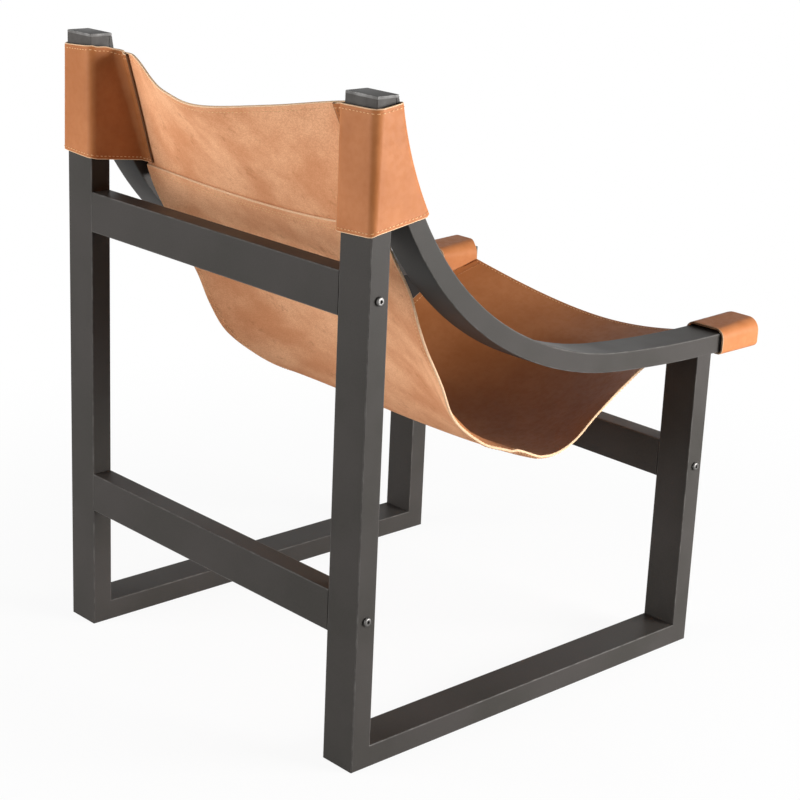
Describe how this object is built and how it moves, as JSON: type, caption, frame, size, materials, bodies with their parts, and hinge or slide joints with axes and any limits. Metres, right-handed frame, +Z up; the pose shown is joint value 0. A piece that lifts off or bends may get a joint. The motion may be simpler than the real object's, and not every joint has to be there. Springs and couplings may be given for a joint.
{
  "type": "leather sling lounge chair",
  "caption": "Low lounge chair with a stitched leather sling hung between closed side frames of dark painted rectangular steel tube with swept arms.",
  "frame": {"origin": "on the floor, under the middle of the chair's overall width and depth", "axes": "+Z up, the sitter faces -Y, +X to the sitter's left"},
  "size_m": [0.5714, 0.7334, 0.767],
  "materials": {
    "frame_paint": "fine satin graphite powder coat",
    "cap_paint": "darker, finely brushed under clear coat",
    "plate_steel": "bare mill finish",
    "screw_steel": "bright steel",
    "back_leather": "vegetable-tanned tan hide, smooth grain side towards the sitter and round the pockets, suede-like flesh side at the rear",
    "seat_leather": "vegetable-tanned tan hide, smooth grain side up, suede-like flesh side underneath"
  },
  "bodies": {
    "root": {"left_rear_post": "frame_paint", "left_floor_rail": "frame_paint", "left_front_leg": "frame_paint", "left_arm": "frame_paint", "left_horn_end_plate": "frame_paint", "left_post_cap": "cap_paint", "right_rear_post": "frame_paint", "right_floor_rail": "frame_paint", "right_front_leg": "frame_paint", "right_arm": "frame_paint", "right_horn_end_plate": "frame_paint", "right_post_cap": "cap_paint", "lower_back_rail": "frame_paint", "lower_back_rail_left_plate": "plate_steel", "lower_back_rail_left_screw": "screw_steel", "lower_back_rail_right_plate": "plate_steel", "lower_back_rail_right_screw": "screw_steel", "upper_back_rail": "frame_paint", "upper_back_rail_left_plate": "plate_steel", "upper_back_rail_left_screw": "screw_steel", "upper_back_rail_right_plate": "plate_steel", "upper_back_rail_right_screw": "screw_steel", "front_rail": "frame_paint", "front_rail_left_plate": "plate_steel", "front_rail_left_screw": "screw_steel", "front_rail_right_plate": "plate_steel", "front_rail_right_screw": "screw_steel", "back_panel": "back_leather", "seat_panel": "seat_leather"}
  },
  "joints": []
}
